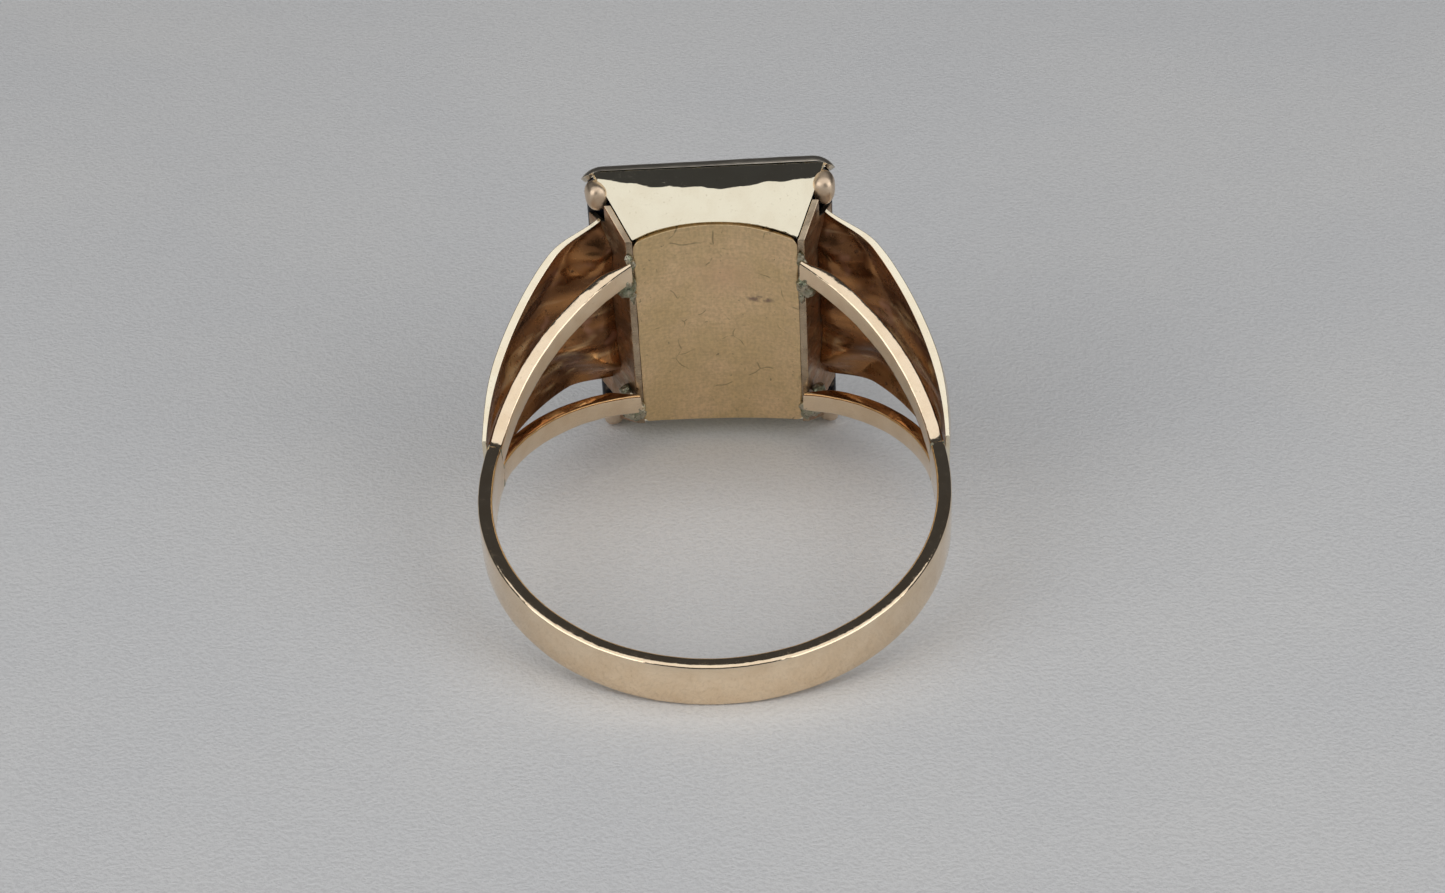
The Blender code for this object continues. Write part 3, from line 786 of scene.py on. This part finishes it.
class Look:
    """A material being made: its node tree, its shader and the ring's own coordinates in mm."""

    def __init__(self, name, metallic):
        self.material = bpy.data.materials.new(name)
        self.material.use_nodes = True
        self.tree = self.material.node_tree
        self.shader = self.tree.nodes["Principled BSDF"]
        self.shader.inputs["Metallic"].default_value = metallic
        coordinates = self.add("ShaderNodeTexCoord")
        back = TURN.to_3x3().inverted()
        place = self.add("ShaderNodeMapping", {
            "Vector": coordinates.outputs["Object"],
            "Scale": (1.0 / MM, 1.0 / MM, 1.0 / MM),
            "Rotation": (-TILT, 0.0, 0.0),
            "Location": tuple(-(back @ LAY) / MM),
        })
        self.place = place.outputs["Vector"]

    def add(self, kind, inputs=None, **settings):
        made = self.tree.nodes.new(kind)
        for name, value in settings.items():
            setattr(made, name, value)
        for name, value in (inputs or {}).items():
            self.set_input(made.inputs[name], value)
        return made

    def set_input(self, socket, value):
        if isinstance(value, bpy.types.NodeSocket):
            self.tree.links.new(value, socket)
        else:
            socket.default_value = value

    def stretched(self, scale, turn=(0.0, 0.0, 0.0)):
        """The ring's coordinates, scaled and turned, for a texture that runs one way."""
        made = self.add("ShaderNodeMapping", {
            "Vector": self.place, "Scale": scale, "Rotation": turn})
        return made.outputs[0]

    def cloud(self, scale, low, high, detail=3.0, roughness=0.55, place=None, distortion=0.0):
        """Noise spread to run from 0 at low to 1 at high."""
        made = self.add("ShaderNodeTexNoise", {
            "Vector": place or self.place, "Scale": scale, "Detail": detail,
            "Roughness": roughness, "Distortion": distortion})
        return self.spread(made.outputs["Fac"], low, high)

    def spread(self, value, low, high, to_low=0.0, to_high=1.0):
        made = self.add("ShaderNodeMapRange", {
            "Value": value, "From Min": low, "From Max": high, "To Min": to_low,
            "To Max": to_high}, interpolation_type="SMOOTHSTEP")
        return made.outputs["Result"]

    def patch(self, centre, half_sizes):
        """A single spot: 1 at its centre and 0 from its half sizes outwards."""
        place = self.add("ShaderNodeMapping", {
            "Vector": self.place, "Scale": tuple(1.0 / half for half in half_sizes),
            "Location": tuple(-c / half for c, half in zip(centre, half_sizes))})
        spot = self.add("ShaderNodeTexGradient", {"Vector": place.outputs[0]},
                        gradient_type="SPHERICAL")
        return spot.outputs["Fac"]

    def tint(self, share, first, second):
        made = self.add("ShaderNodeMix", data_type="RGBA")
        self.set_input(made.inputs[0], share)
        for socket, colour in ((made.inputs[6], first), (made.inputs[7], second)):
            is_socket = isinstance(colour, bpy.types.NodeSocket)
            self.set_input(socket, colour if is_socket else (*colour, 1.0))
        return made.outputs[2]

    def wash(self, mask, strength, colour, over):
        """Colour laid over another where mask is, at most as strong as strength."""
        return self.tint(self.math("MULTIPLY", mask, strength), over, colour)

    def math(self, operation, first, second=0.0):
        made = self.add("ShaderNodeMath", operation=operation)
        self.set_input(made.inputs[0], first)
        self.set_input(made.inputs[1], second)
        return made.outputs[0]

    def bump(self, height, depth, under=None):
        """Raise the surface by height, a 0 to 1 value, times depth in millimetres."""
        inputs = {"Height": height, "Distance": depth * MM}
        if under:
            inputs["Normal"] = under
        return self.add("ShaderNodeBump", inputs).outputs["Normal"]

    def finish(self, colour, roughness, normal):
        self.set_input(self.shader.inputs["Base Color"], colour)
        self.set_input(self.shader.inputs["Roughness"], roughness)
        self.set_input(self.shader.inputs["Normal"], normal)
        return self.material


def gold_look(name, pale, deep, smooth, rough):
    """Polished gold with drifting tone, hair scratches and small dents."""
    look = Look(name, 1.0)
    tone = look.cloud(0.9, 0.35, 0.7)
    grime = look.cloud(7.0, 0.60, 0.78, detail=5.0)
    colour = look.tint(tone, pale, deep)
    colour = look.wash(grime, 0.25, (0.30, 0.18, 0.09), colour)
    grain = look.stretched((3.0, 30.0, 3.0), (0.5, 0.3, 0.9))
    hairs = look.cloud(1.0, 0.56, 0.66, detail=2.0, place=grain)
    scuffs = look.cloud(2.4, 0.40, 0.75, detail=4.0)
    wear = look.math("ADD", look.math("MULTIPLY", hairs, 0.4), scuffs)
    roughness = look.spread(wear, 0.0, 1.3, smooth, rough)
    normal = look.bump(hairs, 0.0002)
    normal = look.bump(look.cloud(2.2, 0.2, 0.8, detail=1.0), 0.006, under=normal)
    return look.finish(colour, roughness, normal)


def hair_cracks(look):
    """Thin bent lines, the borders of large cells, which come and go."""
    drift = look.add("ShaderNodeTexNoise", {"Vector": look.place, "Scale": 0.8, "Detail": 1.0})
    bent = look.add("ShaderNodeMix", {"Factor": 0.22}, data_type="VECTOR")
    look.set_input(bent.inputs[4], look.stretched((0.40, 0.40, 0.36), (0.2, 0.0, 0.4)))
    look.set_input(bent.inputs[5], drift.outputs["Color"])
    cells = look.add("ShaderNodeTexVoronoi", {
        "Vector": bent.outputs[1], "Scale": 1.25, "Randomness": 1.0}, feature="DISTANCE_TO_EDGE")
    lines = look.spread(cells.outputs["Distance"], 0.004, 0.016, 1.0, 0.0)
    return look.math("MULTIPLY", lines, look.cloud(0.9, 0.54, 0.62, detail=2.0))


def plate_look():
    """Tan gold, worn soft: mottled, faintly brushed both ways, finely pitted and scratched."""
    look = Look("brushed_tan_gold", 1.0)
    mottle = look.cloud(0.42, 0.34, 0.68)
    colour = look.tint(mottle, (0.80, 0.60, 0.33), (0.92, 0.68, 0.41))
    grain = look.cloud(6.5, 0.36, 0.66)
    colour = look.wash(grain, 0.30, (0.46, 0.33, 0.19), colour)
    lines = look.cloud(1.0, 0.34, 0.70, place=look.stretched((1.4, 1.0, 11.0)))
    ribs = look.cloud(1.0, 0.34, 0.70, place=look.stretched((11.0, 1.0, 1.4)))
    weave = look.math("ADD", look.math("MULTIPLY", lines, 0.5), look.math("MULTIPLY", ribs, 0.5))
    colour = look.wash(weave, 0.26, (0.42, 0.31, 0.18), colour)
    specks = look.cloud(4.0, 0.70, 0.76, detail=2.0)
    colour = look.wash(specks, 0.6, (0.20, 0.14, 0.09), colour)
    blush = look.patch((0.3, 11.6, 3.2), (1.9, 1.2, 1.5))
    colour = look.wash(blush, 0.40, (0.86, 0.55, 0.38), colour)
    stain = look.spread(look.patch((1.95, 11.5, 1.8), (0.80, 0.9, 0.26)), 0.02, 0.50)
    stain = look.math("MULTIPLY", stain, look.cloud(3.0, 0.30, 0.60, detail=2.0))
    colour = look.wash(stain, 0.75, (0.20, 0.13, 0.12), colour)
    colour = look.wash(hair_cracks(look), 0.55, (0.20, 0.14, 0.08), colour)
    normal = look.bump(weave, 0.003)
    normal = look.bump(grain, 0.003, under=normal)
    normal = look.bump(specks, -0.010, under=normal)
    normal = look.bump(look.cloud(1.2, 0.2, 0.8), 0.02, under=normal)
    roughness = look.spread(look.cloud(2.2, 0.3, 0.7, detail=4.0), 0.0, 1.0, 0.30, 0.42)
    return look.finish(colour, roughness, normal)


def wall_look():
    """Unpolished gold with brown and reddish oxide."""
    look = Look("aged_wall_gold", 0.85)
    colour = look.tint(look.cloud(0.8, 0.38, 0.66), (0.26, 0.16, 0.09), (0.42, 0.23, 0.12))
    streaks = look.cloud(1.0, 0.52, 0.72, detail=4.0, place=look.stretched((1.6, 0.7, 1.6)))
    colour = look.wash(streaks, 0.8, (0.54, 0.42, 0.27), colour)
    crust = look.cloud(4.0, 0.60, 0.72)
    colour = look.wash(crust, 0.6, (0.06, 0.03, 0.02), colour)
    normal = look.bump(look.cloud(1.8, 0.2, 0.8), 0.04)
    normal = look.bump(crust, 0.02, under=normal)
    roughness = look.spread(look.cloud(1.8, 0.3, 0.7), 0.0, 1.0, 0.30, 0.46)
    return look.finish(colour, roughness, normal)


def wing_inside_look():
    """Glossy brown oxide in streaks along the wing, with pale tan patches of painted highlight."""
    look = Look("aged_wing_gold", 0.9)
    along = look.stretched((0.20, 0.20, 0.62), (0.0, 0.0, 0.3))
    broad = look.cloud(1.0, 0.38, 0.62, detail=1.5, place=along, distortion=0.4)
    colour = look.tint(broad, (0.17, 0.075, 0.03), (0.42, 0.20, 0.075))
    # Pale tan patches drawn out along the wing: painted highlights.
    tan_glints = look.cloud(1.4, 0.54, 0.70, detail=2.0, place=along, distortion=0.5)
    colour = look.wash(tan_glints, 0.8, (0.72, 0.50, 0.27), colour)
    pink = look.cloud(0.7, 0.58, 0.74, detail=2.0)
    colour = look.wash(pink, 0.5, (0.50, 0.27, 0.19), colour)
    crust = look.cloud(3.2, 0.62, 0.74)
    colour = look.wash(crust, 0.7, (0.06, 0.03, 0.018), colour)
    normal = look.bump(look.cloud(1.3, 0.2, 0.8, detail=2.0, place=along), 0.06)
    normal = look.bump(crust, 0.01, under=normal)
    roughness = look.spread(look.cloud(1.4, 0.3, 0.7), 0.0, 1.0, 0.20, 0.36)
    return look.finish(colour, roughness, normal)


def solder_look():
    """Grey-green, pitted gold solder."""
    look = Look("grey_solder", 0.9)
    tone = look.cloud(2.5, 0.38, 0.64, detail=4.0)
    colour = look.tint(tone, (0.48, 0.44, 0.34), (0.26, 0.28, 0.19))
    pits = look.cloud(9.0, 0.55, 0.66, detail=4.0)
    colour = look.wash(pits, 0.7, (0.08, 0.08, 0.06), colour)
    normal = look.bump(look.cloud(4.0, 0.2, 0.8, detail=5.0), 0.05)
    normal = look.bump(pits, -0.03, under=normal)
    return look.finish(colour, look.spread(pits, 0.0, 1.0, 0.32, 0.60), normal)


def onyx_look():
    """Black polished stone with a faint navy cast, dust and hair scratches."""
    look = Look("black_onyx", 0.0)
    colour = look.tint(look.cloud(0.6, 0.35, 0.7), (0.004, 0.005, 0.009), (0.009, 0.011, 0.020))
    grain = look.stretched((30.0, 2.0, 2.0), (0.0, 0.6, 0.2))
    hairs = look.cloud(1.0, 0.60, 0.70, detail=2.0, place=grain)
    dust = look.cloud(6.0, 0.66, 0.76, detail=5.0)
    roughness = look.spread(look.math("ADD", hairs, dust), 0.0, 1.5, 0.05, 0.16)
    return look.finish(colour, roughness, look.bump(hairs, -0.0008))


def table_look():
    """Pale, dull and faintly grained."""
    look = Look("pale_table", 0.0)
    colour = look.tint(look.cloud(0.06, 0.3, 0.7), (0.73, 0.735, 0.745), (0.76, 0.76, 0.76))
    colour = look.wash(look.cloud(5.0, 0.45, 0.70), 0.22, (0.46, 0.46, 0.47), colour)
    return look.finish(colour, 0.75, look.bump(look.cloud(5.0, 0.3, 0.7), 0.02))


# A gold look's values are its pale and deep tone and its least and greatest roughness.
LOOKS = {
    "gold": gold_look("worn_gold", (0.90, 0.73, 0.53), (0.84, 0.66, 0.46), 0.08, 0.18),
    "polished": gold_look("polished_pale_gold", (0.82, 0.76, 0.60), (0.79, 0.72, 0.56), 0.05, 0.10),
    "wing_edge": gold_look("worn_edge_gold", (0.92, 0.84, 0.66), (0.88, 0.77, 0.58), 0.10, 0.20),
    "rim": gold_look("satin_rim_gold", (0.80, 0.73, 0.62), (0.72, 0.65, 0.54), 0.30, 0.38),
    "claw": gold_look("satin_claw_gold", (0.78, 0.62, 0.46), (0.66, 0.51, 0.37), 0.36, 0.48),
    "seam": gold_look("worn_seam_gold", (0.52, 0.42, 0.30), (0.34, 0.26, 0.18), 0.26, 0.40),
    "plate": plate_look(),
    "wing_inside": wing_inside_look(),
    "wall": wall_look(),
    "solder": solder_look(),
    "onyx": onyx_look(),
}


# ---------------------------------------------------------------- the ring

make_band()
make_back_plate()
for side_name, side in SIDES.items():
    make_seam_solder(side_name, side)
    make_wing(side_name, side)
    make_side_wall(side_name, side)
    for end_name, end in ENDS.items():
        make_rail(side_name, side, end_name, end)
        make_rail_solder(side_name, side, end_name)
        make_corner_claw(side_name, side, end_name, end)
for end_name, end in ENDS.items():
    make_end_bezel(end_name, end)
    make_bearer(end_name)
make_stone()


# ---------------------------------------------------------------- table, light and camera

def make_floor():
    bm = bmesh.new()
    bmesh.ops.create_grid(bm, x_segments=TABLE_CELLS, y_segments=TABLE_CELLS, size=TABLE_HALF_SIZE)
    mesh = bpy.data.meshes.new("pale_table")
    bm.to_mesh(mesh)
    bm.free()
    mesh.materials.append(table_look())
    floor = bpy.data.objects.new("pale_table", mesh)
    bpy.context.scene.collection.objects.link(floor)


def add_light(name, centre, target, width, height, radiance):
    """A soft rectangular light, as bright from any distance as its radiance says."""
    light = bpy.data.lights.new(name, "AREA")
    light.shape = "RECTANGLE"
    light.size = width
    light.size_y = height
    light.energy = radiance * math.pi * width * height
    lamp = bpy.data.objects.new(name, light)
    bpy.context.scene.collection.objects.link(lamp)
    lamp.location = centre
    lamp.rotation_mode = "QUATERNION"
    lamp.rotation_quaternion = (Vector(target) - Vector(centre)).to_track_quat("-Z", "Y")


def make_world():
    world = bpy.data.worlds.new("studio")
    bpy.context.scene.world = world
    world.use_nodes = True
    background = world.node_tree.nodes["Background"]
    background.inputs["Color"].default_value = WORLD_COLOUR
    background.inputs["Strength"].default_value = WORLD_STRENGTH


def make_camera():
    """The camera, placed about the finger hole's middle by its distance and two angles."""
    level = math.cos(CAMERA_ELEVATION)
    back = Vector((math.sin(CAMERA_AZIMUTH) * level, -math.cos(CAMERA_AZIMUTH) * level,
                   math.sin(CAMERA_ELEVATION)))
    right = (-back).cross(ALONG_FINGER).normalized()
    up = right.cross(-back)
    rolled_right = right * math.cos(CAMERA_ROLL) + up * math.sin(CAMERA_ROLL)
    rolled_up = up * math.cos(CAMERA_ROLL) - right * math.sin(CAMERA_ROLL)
    data = bpy.data.cameras.new("camera")
    data.sensor_width = SENSOR_WIDTH_MM
    data.lens = CAMERA_FOCAL_PIXELS * SENSOR_WIDTH_MM / IMAGE_WIDTH_PIXELS
    data.shift_x, data.shift_y = CAMERA_SHIFT
    data.clip_start = CAMERA_NEAR_LIMIT
    camera = bpy.data.objects.new("camera", data)
    bpy.context.scene.collection.objects.link(camera)
    view = Matrix((rolled_right, rolled_up, back)).transposed().to_4x4()
    view.translation = back * CAMERA_DISTANCE
    camera.matrix_world = POSE @ view
    bpy.context.scene.camera = camera


make_floor()
for light_values in LIGHTS:
    add_light(*light_values)
make_world()
make_camera()
bpy.context.scene.view_settings.view_transform = "Standard"
